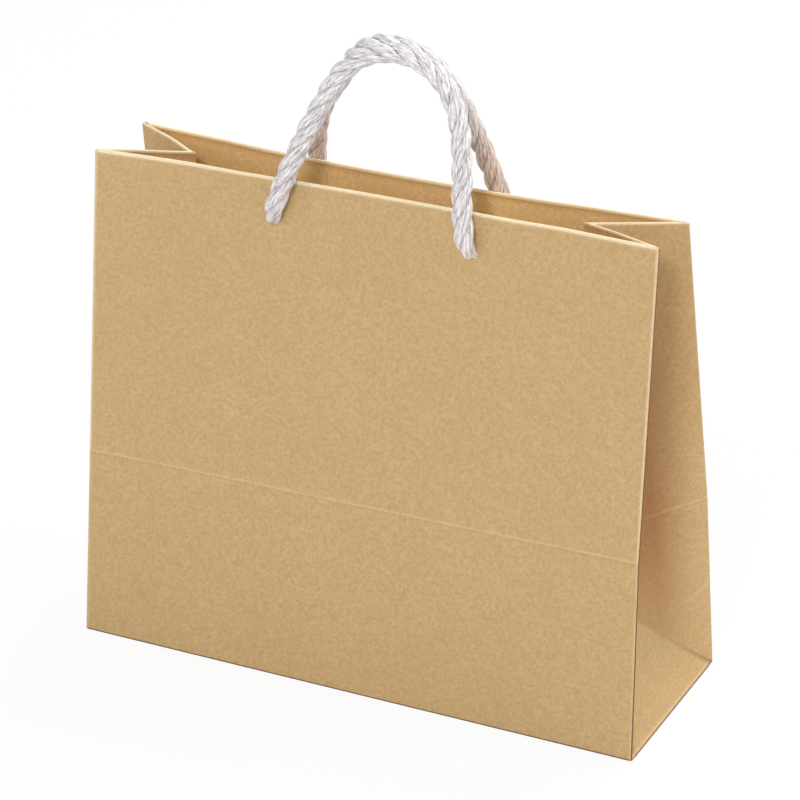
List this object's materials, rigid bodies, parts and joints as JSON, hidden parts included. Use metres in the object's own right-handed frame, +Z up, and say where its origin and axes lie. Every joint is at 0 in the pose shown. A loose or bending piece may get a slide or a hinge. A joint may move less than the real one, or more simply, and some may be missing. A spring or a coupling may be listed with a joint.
{
  "type": "gift bag",
  "caption": "Landscape kraft paper gift bag with folded side gussets, a turned-in rim and twisted rope handles that swing.",
  "frame": {"origin": "middle of the bag's footprint, on the surface that it stands on", "axes": "+Z up, -Y out of the front panel, +X across the front towards its right side"},
  "size_m": [0.24, 0.08, 0.2649],
  "materials": {
    "kraft_paper": "matte",
    "card": "matte",
    "rope": "satin"
  },
  "bodies": {
    "base": {"back_panel_lower": "kraft_paper", "base_board": "card", "bottom_back_flap": "kraft_paper", "bottom_front_flap": "kraft_paper", "front_panel_lower": "kraft_paper", "left_bottom_tab": "kraft_paper", "left_gusset_base": "kraft_paper", "right_bottom_tab": "kraft_paper", "right_gusset_base": "kraft_paper", "seam_flap_lower": "kraft_paper"},
    "front_wall": {"front_left_rope_knot": "rope", "front_panel_upper": "kraft_paper", "front_right_rope_knot": "rope", "front_rim_card": "card", "front_rim_hem": "kraft_paper", "left_gusset_front_half": "kraft_paper", "left_gusset_front_hem": "kraft_paper", "right_gusset_front_half": "kraft_paper", "right_gusset_front_hem": "kraft_paper"},
    "back_wall": {"back_left_rope_knot": "rope", "back_panel_upper": "kraft_paper", "back_right_rope_knot": "rope", "back_rim_card": "card", "back_rim_hem": "kraft_paper", "left_gusset_back_half": "kraft_paper", "left_gusset_back_hem": "kraft_paper", "right_gusset_back_half": "kraft_paper", "right_gusset_back_hem": "kraft_paper", "seam_flap_upper": "kraft_paper"},
    "front_handle": {"front_handle_rope": "rope"},
    "back_handle": {"back_handle_rope": "rope"}
  },
  "joints": [
    {"name": "front_mouth_open", "type": "hinge", "parent": "base", "child": "front_wall", "pos_m": [0, -0.033, 0.07969], "axis": [1, 0, 0], "range_deg": [0, 10.8], "stiffness_Nm_per_rad": 0.02},
    {"name": "back_mouth_open", "type": "hinge", "parent": "base", "child": "back_wall", "pos_m": [0, 0.033, 0.07969], "axis": [-1, 0, 0], "range_deg": [0, 10.8], "stiffness_Nm_per_rad": 0.02},
    {"name": "front_handle_swing", "type": "hinge", "parent": "front_wall", "child": "front_handle", "pos_m": [0, -0.01947, 0.18785], "axis": [1, 0, 0], "range_deg": [0, 175]},
    {"name": "back_handle_swing", "type": "hinge", "parent": "back_wall", "child": "back_handle", "pos_m": [0, 0.01947, 0.18785], "axis": [-1, 0, 0], "range_deg": [0, 175]}
  ]
}
